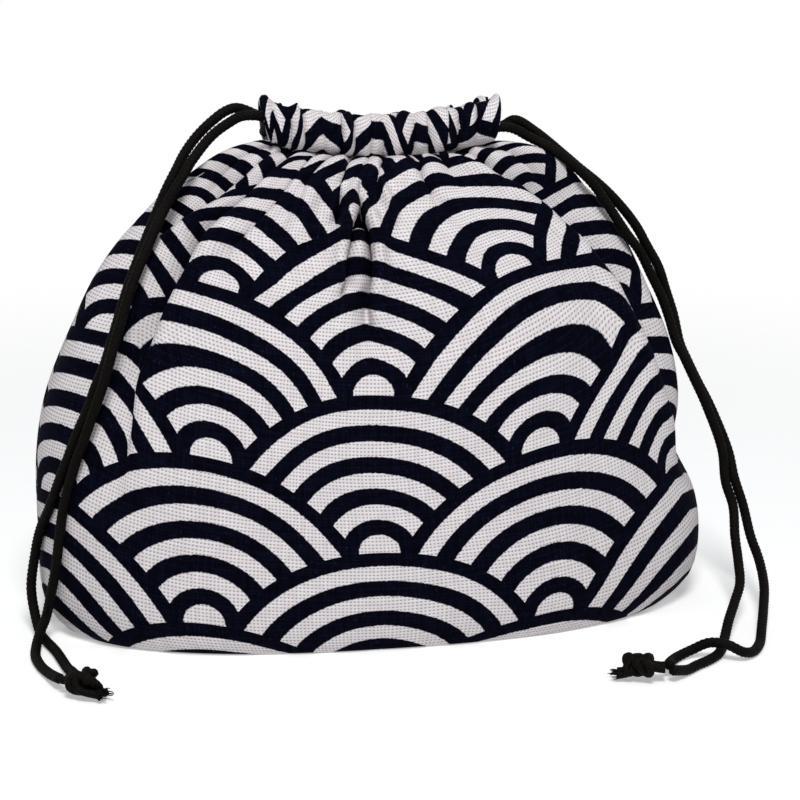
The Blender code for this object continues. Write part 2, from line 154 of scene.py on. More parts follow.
def smooth_step(low, high, value):
    share = np.clip((value - low) / (high - low), 0.0, 1.0)
    return share * share * (3 - 2 * share)


def run_along(points):
    """Distance along a line of points, from its first."""
    return np.concatenate([[0], np.cumsum(np.linalg.norm(np.diff(points, axis=0), axis=1))])


# The camera, at the photograph's view
CAMERA_TURN = math.radians(-10)
CAMERA_RISE = math.radians(16)
CAMERA_DISTANCE = 0.95
CAMERA_FRAME = 0.288
CAMERA_SIDESTEP = 0.012
CAMERA_AIM_HEIGHT = 0.076
SENSOR = 36


def add_camera():
    back = Vector((math.sin(CAMERA_TURN) * math.cos(CAMERA_RISE),
                   -math.cos(CAMERA_TURN) * math.cos(CAMERA_RISE), math.sin(CAMERA_RISE)))
    right = Vector((math.cos(CAMERA_TURN), math.sin(CAMERA_TURN), 0))
    aim = right * CAMERA_SIDESTEP + Vector((0, 0, CAMERA_AIM_HEIGHT))
    data = bpy.data.cameras.new("camera")
    data.sensor_width = SENSOR
    data.lens = SENSOR * CAMERA_DISTANCE / CAMERA_FRAME
    data.clip_start = 0.01
    item = bpy.data.objects.new("camera", data)
    item.location = aim + back * CAMERA_DISTANCE
    item.rotation_euler = back.to_track_quat("Z", "Y").to_euler()
    bpy.context.scene.collection.objects.link(item)
    bpy.context.scene.camera = item


# The smooth form of the pouch, as in its solids
def smooth_surface(side, across, height):
    """Points of the pouch without folds; across runs from -1 at the left seam to 1 at the right."""
    full = np.maximum(1 - (height / STITCH_HEIGHT) ** CROWN_POWER, 0.0)
    tuck = 1 - np.sqrt(1 - (1 - np.minimum(height / BASE_ROUND, 1.0)) ** 2)
    filled = full ** CROWN_WIDTH_POWER
    half_width = CASING_WIDTH / 2 + (BODY_WIDTH - CASING_WIDTH) / 2 * filled
    half_width = half_width - (BODY_WIDTH - BASE_WIDTH) / 2 * tuck
    half_depth = CASING_PLANE + (BODY_DEPTH / 2 - CASING_PLANE) * full ** CROWN_DEPTH_POWER
    half_depth = half_depth - (BODY_DEPTH - BASE_DEPTH) / 2 * tuck
    angle = across * math.pi / 2
    rounded = np.sign(across) * np.abs(np.sin(angle)) ** (2 / CORNER_POWER)
    bulge = np.maximum(np.cos(angle), 0.0) ** (2 / CORNER_POWER)
    opening = smooth_step(SLIT_START, SLIT_FULL, height / STITCH_HEIGHT)
    edge = SEAM_GAP / 2 + (CASING_PLANE - SEAM_GAP / 2) * opening
    x = half_width * (across + filled * (rounded - across)) + CASING_SHIFT * (1 - filled)
    y = side * (edge + (half_depth - edge) * bulge)
    z = height - mouth_dip(side, across, height)
    return np.stack(np.broadcast_arrays(x, y, z), -1)


def mouth_dip(side, across, height):
    """How far the mouth hangs: most at its middle, more to the right, and more along the back."""
    drop = MOUTH_DIP * (1 - across ** 2) + MOUTH_LEAN * (1 + across) / 2
    drop = drop + (BACK_DROP if side == BACK else 0)
    return drop * (height / STITCH_HEIGHT) ** MOUTH_DIP_POWER


NORMAL_STEP = 0.003
SEAM_DEPTH_SHARE = 0.2


def surface_normals(side, across, height):
    """Outward directions of the smooth form, turned towards the seam's plane at the two seams."""
    rise = NORMAL_STEP * STITCH_HEIGHT
    left = smooth_surface(side, np.maximum(across - NORMAL_STEP, -1), height)
    right = smooth_surface(side, np.minimum(across + NORMAL_STEP, 1), height)
    low = smooth_surface(side, across, np.maximum(height - rise, 0))
    high = smooth_surface(side, across, np.minimum(height + rise, STITCH_HEIGHT))
    normal = np.cross(right - left, high - low) * -side
    seam = np.abs(across) > 1 - NORMAL_STEP
    normal[..., 1] = np.where(seam, normal[..., 1] * SEAM_DEPTH_SHARE, normal[..., 1])
    return normal / np.linalg.norm(normal, axis=-1, keepdims=True)


# Where the filled pouch swells or is dented: place along the smooth form from its middle, height,
# reach along and up, and amount
BULGES = (
    (-0.130, 0.072, 0.045, 0.034, 0.0042),
    (-0.088, 0.151, 0.026, 0.018, -0.0028),
    (-0.060, 0.164, 0.022, 0.009, -0.0060),
    (0.132, 0.026, 0.035, 0.024, 0.0042),
    (0.124, 0.085, 0.030, 0.022, 0.0026),
    (0.133, 0.056, 0.016, 0.011, -0.0042),
    (0.020, 0.060, 0.060, 0.040, 0.0012),
)

# Folds that run down from the casing. Each stage is a height, the fold's place along the smooth form
# from its middle, how deep the cloth steps, and how much cloth the fold takes up.
# A step's cloth is sunk on the side that it faces; a valley's is sunk between its two walls.
FRONT_STEPS = (
    # face, half width of the fold, reach of the sunk cloth, stages
    (-1, 0.0050, 0.040, (
        (0.050, -0.094, 0, 0), (0.070, -0.091, 0.0018, 0.003), (0.093, -0.087, 0.0046, 0.008),
        (0.103, -0.083, 0.0072, 0.012), (0.118, -0.077, 0.0100, 0.0155), (0.128, -0.072, 0.0112, 0.0160),
        (0.138, -0.066, 0.0116, 0.0165), (0.145, -0.062, 0.0112, 0.0165), (0.152, -0.055, 0.0104, 0.0165),
        (0.160, -0.046, 0.0086, 0.0150), (0.166, -0.038, 0.0058, 0.011), (0.1725, -0.028, 0.0015, 0.004))),
    (-1, 0.0042, 0.028, (
        (0.100, -0.096, 0, 0), (0.114, -0.094, 0.0032, 0.006), (0.130, -0.089, 0.0062, 0.0100),
        (0.141, -0.083, 0.0080, 0.0125), (0.147, -0.073, 0.0084, 0.0130), (0.156, -0.061, 0.0076, 0.0130),
        (0.163, -0.052, 0.0052, 0.0100), (0.1725, -0.036, 0.0010, 0.003))),
    (1, 0.0058, 0.060, (
        (0.040, 0.128, 0, 0), (0.061, 0.121, 0.0020, 0.001), (0.082, 0.109, 0.0050, 0.006),
        (0.095, 0.102, 0.0072, 0.011), (0.105, 0.097, 0.0092, 0.016), (0.114, 0.092, 0.0108, 0.019),
        (0.122, 0.088, 0.0120, 0.021), (0.130, 0.081, 0.0128, 0.023), (0.137, 0.075, 0.0132, 0.024),
        (0.145, 0.066, 0.0132, 0.0235), (0.151, 0.060, 0.0124, 0.022), (0.159, 0.049, 0.0104, 0.019),
        (0.166, 0.036, 0.0070, 0.012), (0.1725, 0.024, 0.0015, 0.004))),
    (-1, 0.0036, 0.015, (
        (0.130, -0.0580, 0, 0), (0.140, -0.0535, 0.0028, 0.005), (0.146, -0.0470, 0.0050, 0.0085),
        (0.154, -0.0395, 0.0064, 0.0105), (0.164, -0.0280, 0.0060, 0.0095),
        (0.1725, -0.0190, 0.0015, 0.003))),
    (1, 0.0030, 0.014, (
        (0.124, -0.0175, 0, 0), (0.130, -0.0165, 0.0090, 0.005), (0.138, -0.0150, 0.0170, 0.009),
        (0.149, -0.0115, 0.0180, 0.009), (0.153, -0.0098, 0.0170, 0.008),
        (0.157, -0.0080, 0.0040, 0.006), (0.164, -0.0055, 0.0010, 0.002))),
    (-1, 0.0030, 0.014, (
        (0.110, -0.0060, 0, 0), (0.122, -0.0056, 0.0060, 0.004), (0.131, -0.0045, 0.0120, 0.008),
        (0.139, -0.0042, 0.0175, 0.009), (0.149, -0.0050, 0.0180, 0.009), (0.153, -0.0060, 0.0170, 0.007),
        (0.157, -0.0066, 0.0030, 0.004), (0.161, -0.0060, 0.0010, 0.002))),
)
FRONT_VALLEYS = (
    # half width of the fold, stages; a negative depth is a ridge
    (0.0240, (
        (0.036, -0.0300, 0, 0), (0.070, -0.0300, 0, 0.0055), (0.100, -0.0280, 0, 0.005),
        (0.130, -0.0200, 0.0004, 0.0035), (0.150, -0.0120, 0, 0))),
    (0.0090, (
        (0.096, -0.0070, 0, 0), (0.110, -0.0068, 0.0028, 0.004), (0.124, -0.0085, 0.0056, 0.007),
        (0.134, -0.0100, 0.0040, 0.004), (0.142, -0.0095, 0, 0))),
    (0.0060, (
        (0.148, -0.0175, 0, 0), (0.156, -0.0150, 0.0070, 0.007), (0.163, -0.0130, 0.0095, 0.009),
        (0.169, -0.0110, 0.0050, 0.006), (0.1725, -0.0100, 0.0010, 0.002))),
    (0.0055, (
        (0.136, -0.0010, 0, 0), (0.145, -0.0005, -0.0018, 0.002), (0.153, 0.0030, -0.0042, 0.004),
        (0.163, 0.0020, -0.0030, 0.004), (0.1715, 0.0010, -0.0005, 0.001))),
    (0.0050, (
        (0.134, -0.0200, 0, 0), (0.147, -0.0160, -0.0024, 0.002), (0.155, -0.0125, -0.0034, 0.003),
        (0.163, -0.0080, -0.0022, 0.002), (0.1705, -0.0040, -0.0005, 0.001))),
    (0.0090, (
        (0.108, -0.0880, 0, 0), (0.128, -0.0810, -0.0024, 0.001), (0.140, -0.0740, -0.0040, 0.002),
        (0.150, -0.0640, -0.0042, 0.002), (0.159, -0.0510, -0.0034, 0.002), (0.167, -0.0400, -0.0014, 0.001),
        (0.1725, -0.0330, 0, 0))),
    (0.0070, (
        (0.134, -0.0370, 0, 0), (0.148, -0.0300, -0.0026, 0.001), (0.156, -0.0270, -0.0036, 0.002),
        (0.164, -0.0215, -0.0024, 0.002), (0.1725, -0.0160, 0, 0))),
    (0.0070, (
        (0.125, 0.0410, 0, 0), (0.145, 0.0310, 0.0010, 0.002), (0.158, 0.0200, 0.0022, 0.005),
        (0.167, 0.0140, 0.0026, 0.005), (0.1725, 0.0120, 0.0005, 0.001))),
)
BACK_STEPS = (
    (-1, 0.0055, 0.050, (
        (0.060, -0.100, 0, 0), (0.090, -0.093, 0.0020, 0.006), (0.120, -0.082, 0.0046, 0.012),
        (0.140, -0.068, 0.0066, 0.016), (0.155, -0.052, 0.0066, 0.016), (0.166, -0.037, 0.0050, 0.011),
        (0.1725, -0.027, 0.0015, 0.004))),
    (1, 0.0055, 0.045, (
        (0.090, 0.088, 0, 0), (0.110, 0.080, 0.0022, 0.006), (0.130, 0.070, 0.0050, 0.013),
        (0.145, 0.057, 0.0060, 0.015), (0.158, 0.042, 0.0052, 0.013), (0.167, 0.031, 0.0035, 0.008),
        (0.1725, 0.025, 0.0010, 0.003))),
)
BACK_VALLEYS = (
    (0.0090, (
        (0.104, -0.004, 0, 0), (0.122, -0.006, 0.0030, 0.006), (0.138, -0.008, 0.0080, 0.013),
        (0.150, -0.009, 0.0085, 0.012), (0.162, -0.008, 0.0040, 0.006), (0.1715, -0.006, 0.0010, 0.002))),
    (0.0070, (
        (0.126, 0.034, 0, 0), (0.142, 0.029, 0.0022, 0.005), (0.156, 0.022, 0.0042, 0.008),
        (0.168, 0.016, 0.0040, 0.008), (0.1725, 0.014, 0.0010, 0.002))),
    (0.0070, (
        (0.140, -0.042, 0, 0), (0.152, -0.034, 0.0030, 0.006), (0.164, -0.026, 0.0040, 0.008),
        (0.1725, -0.018, 0.0010, 0.002))),
)

# The shape of a fold's lip, and how a fold fades
LIP_SHARE = 0.26
LIP_OVERHANG = 1.15
LIP_PLACE = 1.5
LIP_REACH = 0.9
FADE_START = 0.1
VALLEY_POWER = 1.5
SEAM_HOLD = 0.020
ROW_SAMPLES = 361

# A crease's cloth follows (1 - x^2)^2 between -1 and 1, and this makes the area under it one
CREASE_SCALE = 15 / 16

# Gathers at the casing
RUFFLES = 14
RUFFLE_START = 0.153
RUFFLE_FULL = 0.1705
RUFFLE_DEPTH = 0.0042
RUFFLE_POWER = 0.85
RUFFLE_CLOTH = 0.35
RUFFLE_MEAN = 0.80
RUFFLE_MOST = 1.05
STITCH_PINCH = 0.45

# Unevenness across the cloth, as sine waves: size, radians over the whole width, and shift by side
RUFFLE_WANDER = ((0.20, 17, 1), (0.13, 41, 2))
RUFFLE_HEIGHTS = ((0.20, 29, 3), (0.12, 67, 0))
CREST_HEIGHTS = ((0.30, 53, 1), (0.25, 97, 2))
CASING_SWAY = ((0.0009, 61, 2),)


def uneven(share, waves, side):
    return sum(size * np.sin(share * turns + shift * side) for size, turns, shift in waves)


def ruffle_wave(share, side):
    """Gathers across the cloth: 0 at both seams and in each valley, about 1 on each crest."""
    wander = uneven(share, RUFFLE_WANDER, side) * np.sin(math.pi * share)
    wave = np.abs(np.sin(math.pi * (RUFFLES * share + wander))) ** RUFFLE_POWER
    height = RUFFLE_MEAN + uneven(share, RUFFLE_HEIGHTS, side)
    return wave * np.minimum(height, RUFFLE_MOST)


def stage_values(stages, height):
    """A fold's place, depth and cloth taken up at a height; outside its stages the last two are 0."""
    table = np.array(stages)
    inside = bool(table[0, 0] <= height <= table[-1, 0])
    place, depth, taken = (float(np.interp(height, table[:, 0], table[:, column])) for column in (1, 2, 3))
    return place, depth * inside, taken * inside


def folds_at(side, height):
    """The folds in order of place: place, depth, cloth taken up, half width, face and reach."""
    steps = FRONT_STEPS if side == FRONT else BACK_STEPS
    valleys = FRONT_VALLEYS if side == FRONT else BACK_VALLEYS
    folds = [(*stage_values(stages, height), half, face, reach) for face, half, reach, stages in steps]
    folds += [(*stage_values(stages, height), half, 0, 0) for half, stages in valleys]
    return sorted(folds)


def cloth_rows(side, heights):
    """For each height and cloth column: place across the smooth form, as a share and in metres from
    its middle, and how far the folds raise or sink the cloth."""
    share = np.linspace(0, 1, COLUMNS + 1)
    cloth = share * FLAT_WIDTH
    cell = FLAT_WIDTH / COLUMNS
    wave = ruffle_wave(share, side)
    held = smooth_step(0, SEAM_HOLD, np.minimum(cloth, FLAT_WIDTH - cloth))
    spread = np.linspace(-1, 1, ROW_SAMPLES)
    across_rows, lateral_rows, sunk_rows = [], [], []
    for height in heights:
        run = run_along(smooth_surface(side, spread, np.full_like(spread, height)))
        run = run - np.interp(0, spread, run)
        length = run[-1] - run[0]
        folds = folds_at(side, height)
        gathered = float(smooth_step(RUFFLE_START, RUFFLE_FULL, height))
        density = 1 - gathered + gathered * (RUFFLE_CLOTH + wave)
        scale = length / (FLAT_WIDTH - sum(fold[2] for fold in folds))
        sunk = np.zeros(COLUMNS + 1)
        before = 0.0
        for place, depth, taken, half, face, reach in folds:
            overhang = face * max(taken / 2 - half, 0) * LIP_OVERHANG
            middle = (place - run[0]) / scale + before + taken / 2 - overhang
            before += taken
            offset = (cloth - middle) / half
            crease = np.maximum(1 - offset ** 2, 0)
            density = density - taken / half * (crease ** 2 * CREASE_SCALE)
            if face:
                fade = (1 - smooth_step(FADE_START, 1, (cloth - middle) * face / reach)) ** 2
                lip = np.exp(-((offset * face + LIP_PLACE) / LIP_REACH) ** 2)
                sunk += depth * (LIP_SHARE * lip - smooth_step(-1, 1, offset * face) * fade)
            else:
                sunk -= depth * crease ** VALLEY_POWER
        lateral = np.concatenate([[0], np.cumsum((density[1:] + density[:-1]) / 2 * cell)])
        lateral = lateral * length / lateral[-1] + run[0]
        lateral_rows.append(lateral)
        across_rows.append(np.interp(lateral, run, spread))
        sunk_rows.append(sunk * held)
    return np.array(across_rows), np.array(lateral_rows), np.array(sunk_rows)


def wall_heights():
    """Row heights up the wall: even steps round the base, then closer towards the casing."""
    rounding = BASE_ROUND * (1 - np.cos(np.linspace(0, math.pi / 2, ROUND_ROWS + 1)[:-1]))
    first = math.asin((BASE_ROUND / STITCH_HEIGHT) ** (CROWN_POWER / 2))
    angles = np.linspace(first, math.pi / 2, WALL_ROWS - ROUND_ROWS)
    return np.concatenate([rounding, STITCH_HEIGHT * np.sin(angles) ** (2 / CROWN_POWER)])


# Wrinkles: how closely they lie along each axis, the broad ones' share, and their depths
BROAD_WRINKLES = (34, 34, 17)
FINE_WRINKLES = (95, 95, 42)
BROAD_SHARE = 0.72
WRINKLE_DEPTH = 0.0010
WRINKLE_DEEPENING = 0.0012
DEEPENING_HEIGHTS = (0.09, 0.15)
WRINKLE_FOOT = 0.03
GATHERS_CALM = 0.8
SWELLING_FOOT = 0.012


def wrinkles(points, side):
    """Small soft undulations of the cloth, between about -1 and 1."""
    seed = Vector((3.1 * side, 7.7, 1.3))
    flat = points.reshape(-1, 3)
    values = np.empty(len(flat))
    for index, point in enumerate(flat):
        broad = noise.noise(Vector(point * BROAD_WRINKLES) + seed)
        fine = noise.noise(Vector(point * FINE_WRINKLES) - seed)
        values[index] = BROAD_SHARE * broad + (1 - BROAD_SHARE) * fine
    return values.reshape(points.shape[:2])


def swelling(lateral, level):
    total = np.zeros_like(lateral)
    for place, height, reach, rise_reach, amount in BULGES:
        away = ((lateral - place) / reach) ** 2 + ((level - height) / rise_reach) ** 2
        total += amount * np.exp(-away)
    return total * smooth_step(0, SWELLING_FOOT, level)


# How the filling pulls the print along the cloth. A pair is where an effect starts and where it is full.
PRINT_RISE = 0.003
PRINT_RISE_SLOPE = 0.08
PRINT_RISE_MOST = 0.0104
PRINT_DROP_MOST = 0.0135
PRINT_REACH = 0.060
PRINT_POWER = 1.66
HIGH_PRINT = (0.095, 0.130)
HIGH_PRINT_SHIFT = 0.0035
HIGH_PRINT_NARROWING = 0.0115
RIGHT_DROP = 0.0028
RIGHT_DROP_PLACE = (0.015, 0.050)
LOW_RIGHT_RISE = 0.0026
LOW_RIGHT_PLACE = (0.020, 0.055)
LOW_RIGHT_TOP = (0.020, 0.055)
SLIDE_PLACE = (0.0, 0.036)
HIGH_SLIDE = 0.0026
HIGH_SLIDE_START = (0.100, 0.125)
HIGH_SLIDE_END = (0.140, 0.165)
LOW_SLIDE = 0.0028
LOW_SLIDE_END = (0.018, 0.050)


def pattern_rise(lateral, vertical):
    """How far the print is pulled up or down along the cloth by how the pouch is filled."""
    centre = np.minimum(PRINT_RISE + PRINT_RISE_SLOPE * vertical, PRINT_RISE_MOST)
    high = smooth_step(*HIGH_PRINT, vertical)
    away = np.abs(lateral + HIGH_PRINT_SHIFT * high) / (PRINT_REACH - HIGH_PRINT_NARROWING * high)
    right = RIGHT_DROP * smooth_step(*RIGHT_DROP_PLACE, lateral) * high
    low_right = LOW_RIGHT_RISE * smooth_step(*LOW_RIGHT_PLACE, lateral)
    low_right = low_right * (1 - smooth_step(*LOW_RIGHT_TOP, vertical))
    return np.maximum(centre * (1 - away ** PRINT_POWER), -PRINT_DROP_MOST) - right + low_right


def pattern_slide(lateral, vertical):
    """How far the print is pulled to the right along the cloth, high and low on the right."""
    high = smooth_step(*HIGH_SLIDE_START, vertical) * (1 - smooth_step(*HIGH_SLIDE_END, vertical))
    low = 1 - smooth_step(*LOW_SLIDE_END, vertical)
    return smooth_step(*SLIDE_PLACE, lateral) * (HIGH_SLIDE * high + LOW_SLIDE * low)


# The casing: its uneven top edge, its lean along X, its open ends and how its gathers flatten
CREST_MEAN = 0.55
CREST_RISE = 0.0022
CASING_LEAN = 0.0012
END_START = 0.90
END_BULGE = 0.0010
PINCH_RELEASE = 1.6
FACING_POWER = 0.7
TOP_FLATTENING = 0.35


def casing_rows(side, across, share):
    """Rows round the casing's tube, from the stitch line over the top to the stitch line inside."""
    wave = ruffle_wave(share, side)
    crest = CREST_MEAN + uneven(share, CREST_HEIGHTS, side)
    sway = uneven(share, CASING_SWAY, side) + CASING_LEAN * across
    end = smooth_step(END_START, 1, np.abs(across))
    rows = []
    for turn in np.linspace(-math.pi / 2, 3 * math.pi / 2, CASING_ROWS + 1)[1:]:
        outward = math.copysign(abs(math.cos(turn)) ** CASING_ROUNDING, math.cos(turn))
        upward = math.copysign(abs(math.sin(turn)) ** CASING_ROUNDING, math.sin(turn))
        facing = 0.5 + 0.5 * math.cos(turn)
        top = max(math.sin(turn), 0)
        swell = STITCH_PINCH + (1 - STITCH_PINCH) * min(1.0, PINCH_RELEASE * max(upward + 1, 0))
        y = CASING_PLANE + (CHANNEL_HALF + THICKNESS) * outward
        y = y + RUFFLE_DEPTH * wave * swell * facing ** FACING_POWER * (1 - TOP_FLATTENING * top)
        y = y + END_BULGE * end * max(math.cos(turn), 0)
        z = CASING_MIDDLE - mouth_dip(side, across, STITCH_HEIGHT) + CREST_RISE * wave * crest * top ** 2
        z = z + (CASING_HEIGHT / 2 - THICKNESS) * upward + END_RISE * end * top
        inner = INNER_SHORTER * end * (0.5 - 0.5 * math.cos(turn))
        x = CASING_WIDTH / 2 * across * (1 - inner) + CASING_SHIFT + (END_SHIFT - END_TUCK * across) * end
        x = x + sway * (0.5 + 0.5 * upward)
        rows.append(np.stack([x, side * y, z], -1))
    return np.array(rows)


# The side seam's groove, the pinch at the stitch line, and the hem's gap inside in thicknesses
SEAM_REACH = 0.03
GROOVE_DEPTH = 0.0008
GROOVE_POWER = 4
GROOVE_HEIGHTS = (0.004, 0.02)
PINCH_HEIGHT = 0.0030
HEM_GAP = 2.2


def panel_wall(side, share, across, lateral, sunk, level):
    """The panel from the floor to the stitch line, with folds, gathers, wrinkles and swellings, and
    the smooth form's normals there."""
    skin = smooth_surface(side, across, level)
    normal = surface_normals(side, across, level)
    gathered = smooth_step(RUFFLE_START, RUFFLE_FULL, level)
    pinch = 1 - (1 - STITCH_PINCH) * smooth_step(STITCH_HEIGHT - PINCH_HEIGHT, STITCH_HEIGHT, level)
    rise = sunk + RUFFLE_DEPTH * ruffle_wave(share, side)[None] * gathered * pinch
    depth = WRINKLE_DEPTH + WRINKLE_DEEPENING * smooth_step(*DEEPENING_HEIGHTS, level)
    calm = 1 - GATHERS_CALM * gathered
    rise = rise + wrinkles(skin, side) * depth * smooth_step(0, WRINKLE_FOOT, level) * calm
    rise = rise + swelling(lateral, level)
    seam = smooth_step(SEAM_REACH, 0.0, np.minimum(share, 1 - share))[None] * (1 - gathered)
    rise = rise - GROOVE_DEPTH * seam ** GROOVE_POWER * smooth_step(*GROOVE_HEIGHTS, level) - THICKNESS / 2
    wall = skin + normal * rise[..., None]
    wall[..., 2] = np.maximum(wall[..., 2], THICKNESS / 2)
    return wall, normal


def make_panel(name, side, material):
    """One panel's cloth: half the base, the wall, the casing turned over and the hem inside. Its map
    holds each point's place on the flat cloth, in metres."""
    share = np.linspace(0, 1, COLUMNS + 1)
    heights = wall_heights()
    across, lateral, sunk = cloth_rows(side, heights)
    level = np.repeat(heights[:, None], COLUMNS + 1, 1)
    wall, normal = panel_wall(side, share, across, lateral, sunk, level)
    vertical = vertical_run(side, across, level)

    inward = np.linspace(1, 0, BASE_ROWS + 1)[:-1, None]
    base = np.repeat(wall[:1], BASE_ROWS, 0)
    rim = wall[0, :, 1] - side * SEAM_GAP / 2
    base[..., 1] = side * SEAM_GAP / 2 + rim * (1 - inward)
    base[..., 2] = THICKNESS / 2
    base_vertical = -np.abs(rim) * inward

    casing = casing_rows(side, across[-1], share)
    run = np.linalg.norm(np.diff(np.concatenate([wall[-1:], casing]), axis=0), axis=2)
    casing_vertical = vertical[-1] + np.cumsum(run, axis=0)
    below = slice(-2, -2 - HEM_ROWS, -1)
    hem = wall[below] - normal[below] * HEM_GAP * THICKNESS
    hem_vertical = casing_vertical[-1] + (vertical[-1] - vertical[below])

    shift = pattern_rise(lateral, vertical)
    up = np.concatenate([base_vertical + shift[:1], vertical + shift,
                         casing_vertical + shift[-1:], hem_vertical + shift[-1:]])
    slide = pattern_slide(lateral, vertical)
    slide = np.concatenate([np.repeat(slide[:1], BASE_ROWS, 0), slide,
                            np.repeat(slide[-1:], CASING_ROWS + HEM_ROWS, 0)])
    along = ((share - 0.5) * FLAT_WIDTH)[None] - slide
    grid = np.concatenate([base, wall, casing, hem])
    item = grid_object(name, grid, along, up, side == FRONT, material)
    solid = item.modifiers.new("thickness", "SOLIDIFY")
    solid.thickness = THICKNESS
    solid.offset = 0
    return item


RUN_SAMPLES = 81


def vertical_run(side, across, level):
    """Distance up the smooth form from the floor, at each point's own place across."""
    spread = np.linspace(-1, 1, RUN_SAMPLES)
    rows = np.repeat(level[:, :1], RUN_SAMPLES, 1)
    points = smooth_surface(side, np.repeat(spread[None], len(level), 0), rows)
    run = np.linalg.norm(np.diff(points, axis=0), axis=2)
    total = np.concatenate([np.zeros((1, RUN_SAMPLES)), np.cumsum(run, axis=0)])
    return np.array([np.interp(across[row], spread, total[row]) for row in range(len(level))])


def grid_object(name, grid, along, up, flip, material):
    rows, columns = grid.shape[:2]
    index = np.arange(rows * columns).reshape(rows, columns)
    corners = [index[:-1, :-1], index[:-1, 1:], index[1:, 1:], index[1:, :-1]]
    if not flip:
        corners = corners[::-1]
    faces = np.stack(corners, -1).reshape(-1, 4)
    item = mesh_object(name, grid.reshape(-1, 3).tolist(), faces.tolist(), material)
    layer = item.data.uv_layers.new(name="cloth")
    pairs = np.stack([along.reshape(-1), up.reshape(-1)], -1)[faces.reshape(-1)]
    layer.data.foreach_set("uv", pairs.astype(np.float32).reshape(-1))
    return item


# Materials
class Graph:
    """A material's node tree, with short calls for the nodes that its pattern needs."""

    def __init__(self, name):
        self.material = bpy.data.materials.new(name)
        self.material.use_nodes = True
        self.nodes = self.material.node_tree.nodes
        self.links = self.material.node_tree.links
        self.shader = self.nodes["Principled BSDF"]

    def feed(self, socket, value):
        if isinstance(value, (int, float, tuple)):
            socket.default_value = value
        else:
            self.links.new(value, socket)

    def math(self, operation, *values):
        node = self.nodes.new("ShaderNodeMath")
        node.operation = operation
        for socket, value in zip(node.inputs, values):
            self.feed(socket, value)
        return node.outputs[0]

    def ramp(self, value, low, high):
        """0 at low, 1 at high and smooth between; it falls where low is the greater."""
        node = self.nodes.new("ShaderNodeMapRange")
        node.interpolation_type = "SMOOTHSTEP"
        self.feed(node.inputs["Value"], value)
        node.inputs["From Min"].default_value = low
        node.inputs["From Max"].default_value = high
        return node.outputs["Result"]

    def mix(self, factor, first, second):
        node = self.nodes.new("ShaderNodeMix")
        node.data_type = "RGBA"
        self.feed(node.inputs[0], factor)
        self.feed(node.inputs[6], first)
        self.feed(node.inputs[7], second)
        return node.outputs[2]

    def noise(self, vector, scale, detail=2.0):
        node = self.nodes.new("ShaderNodeTexNoise")
        self.links.new(vector, node.inputs["Vector"])
        node.inputs["Scale"].default_value = scale
        node.inputs["Detail"].default_value = detail
        return node.outputs["Fac"]

    def stretched(self, vector, scale):
        node = self.nodes.new("ShaderNodeMapping")
        self.links.new(vector, node.inputs["Vector"])
        node.inputs["Scale"].default_value = scale
        return node.outputs["Vector"]

    def streaks(self, vector, scale, detail=2.0):
        """Noise that changes at its own rate along each axis."""
        return self.noise(self.stretched(vector, scale), 1.0, detail)

    def choose(self, choice, first, second):
        """The first value where the choice is 0 and the second where it is 1."""
        kept = self.math("MULTIPLY", first, self.math("SUBTRACT", 1.0, choice))
        return self.math("ADD", kept, self.math("MULTIPLY", second, choice))

    def blend(self, factor, first, second):
        """One surface that goes from the first to the second as the factor goes from 0 to 1."""
        node = self.nodes.new("ShaderNodeMixShader")
        for socket, value in zip(node.inputs, (factor, first, second)):
            self.links.new(value, socket)
        return node.outputs[0]

    def surface(self, colour, roughness, specular):
        self.feed(self.shader.inputs["Base Color"], colour)
        self.shader.inputs["Roughness"].default_value = roughness
        self.shader.inputs["Specular IOR Level"].default_value = specular

    def bump(self, height, strength, distance):
        node = self.nodes.new("ShaderNodeBump")
        node.inputs["Strength"].default_value = strength
        node.inputs["Distance"].default_value = distance
        self.links.new(height, node.inputs["Height"])
        self.links.new(node.outputs["Normal"], self.shader.inputs["Normal"])


# The print: fans of rings round a white core, counted in rings from a fan's centre. A pair is where a
# change starts and where it is full.
FAN_RADIUS = 0.059
FAN_RINGS = 5.0
FAN_SHIFT = (-0.0045, 0.0154)
ROWS_BELOW = 100.0
EDGE_WOBBLE = 0.012
EDGE_WOBBLE_SCALE = 900.0
WHITE_START = (0.065, 0.095)
WHITE_END = (0.575, 0.545)
CORE_END = (0.605, 0.575)

# The weave: how its threads wander and thicken, with the rate of change across and along the cloth
THREAD_PITCH = 0.0013
WARP_SHARE = 0.6
WANDER = 1.6
WARP_WANDER = (260, 12, 1)
WEFT_WANDER = (12, 260, 1)
WARP_SLUBS = (800, 80, 1)
WEFT_SLUBS = (80, 800, 1)
HOLES = (0.10, 1.50)
SPECK_RATE = (1500, 500, 1)
SPECKS = (0.66, 0.78)
SPECK_SHARE = 0.35
DARK_HOLE_SHARE = 0.8
SLUB_HEIGHT = 0.4
GAP_DEPTH = 0.22

# Colours where threads are thin and where they are thick, and between threads
PALE_SLUBS = (0.75, 1.25)
PALE_THIN = (0.80, 0.75, 0.765, 1)
PALE_THICK = (0.90, 0.86, 0.88, 1)
PALE_HOLE = (0.40, 0.34, 0.35, 1)
DARK_SLUBS = (0.80, 1.25)
DARK_THIN = (0.0012, 0.0013, 0.0046, 1)
DARK_THICK = (0.0034, 0.0042, 0.0130, 1)
DARK_HOLE = (0.0005, 0.0005, 0.0014, 1)
DARK_SPECK = (0.030, 0.040, 0.105, 1)
BLACK_LOW = (0.0010, 0.0009, 0.0008, 1)
BLACK_HIGH = (0.0060, 0.0050, 0.0042, 1)
BLACK_GRAIN = (0.3, 0.75)
BLACK_GRAIN_SCALE = 2600.0


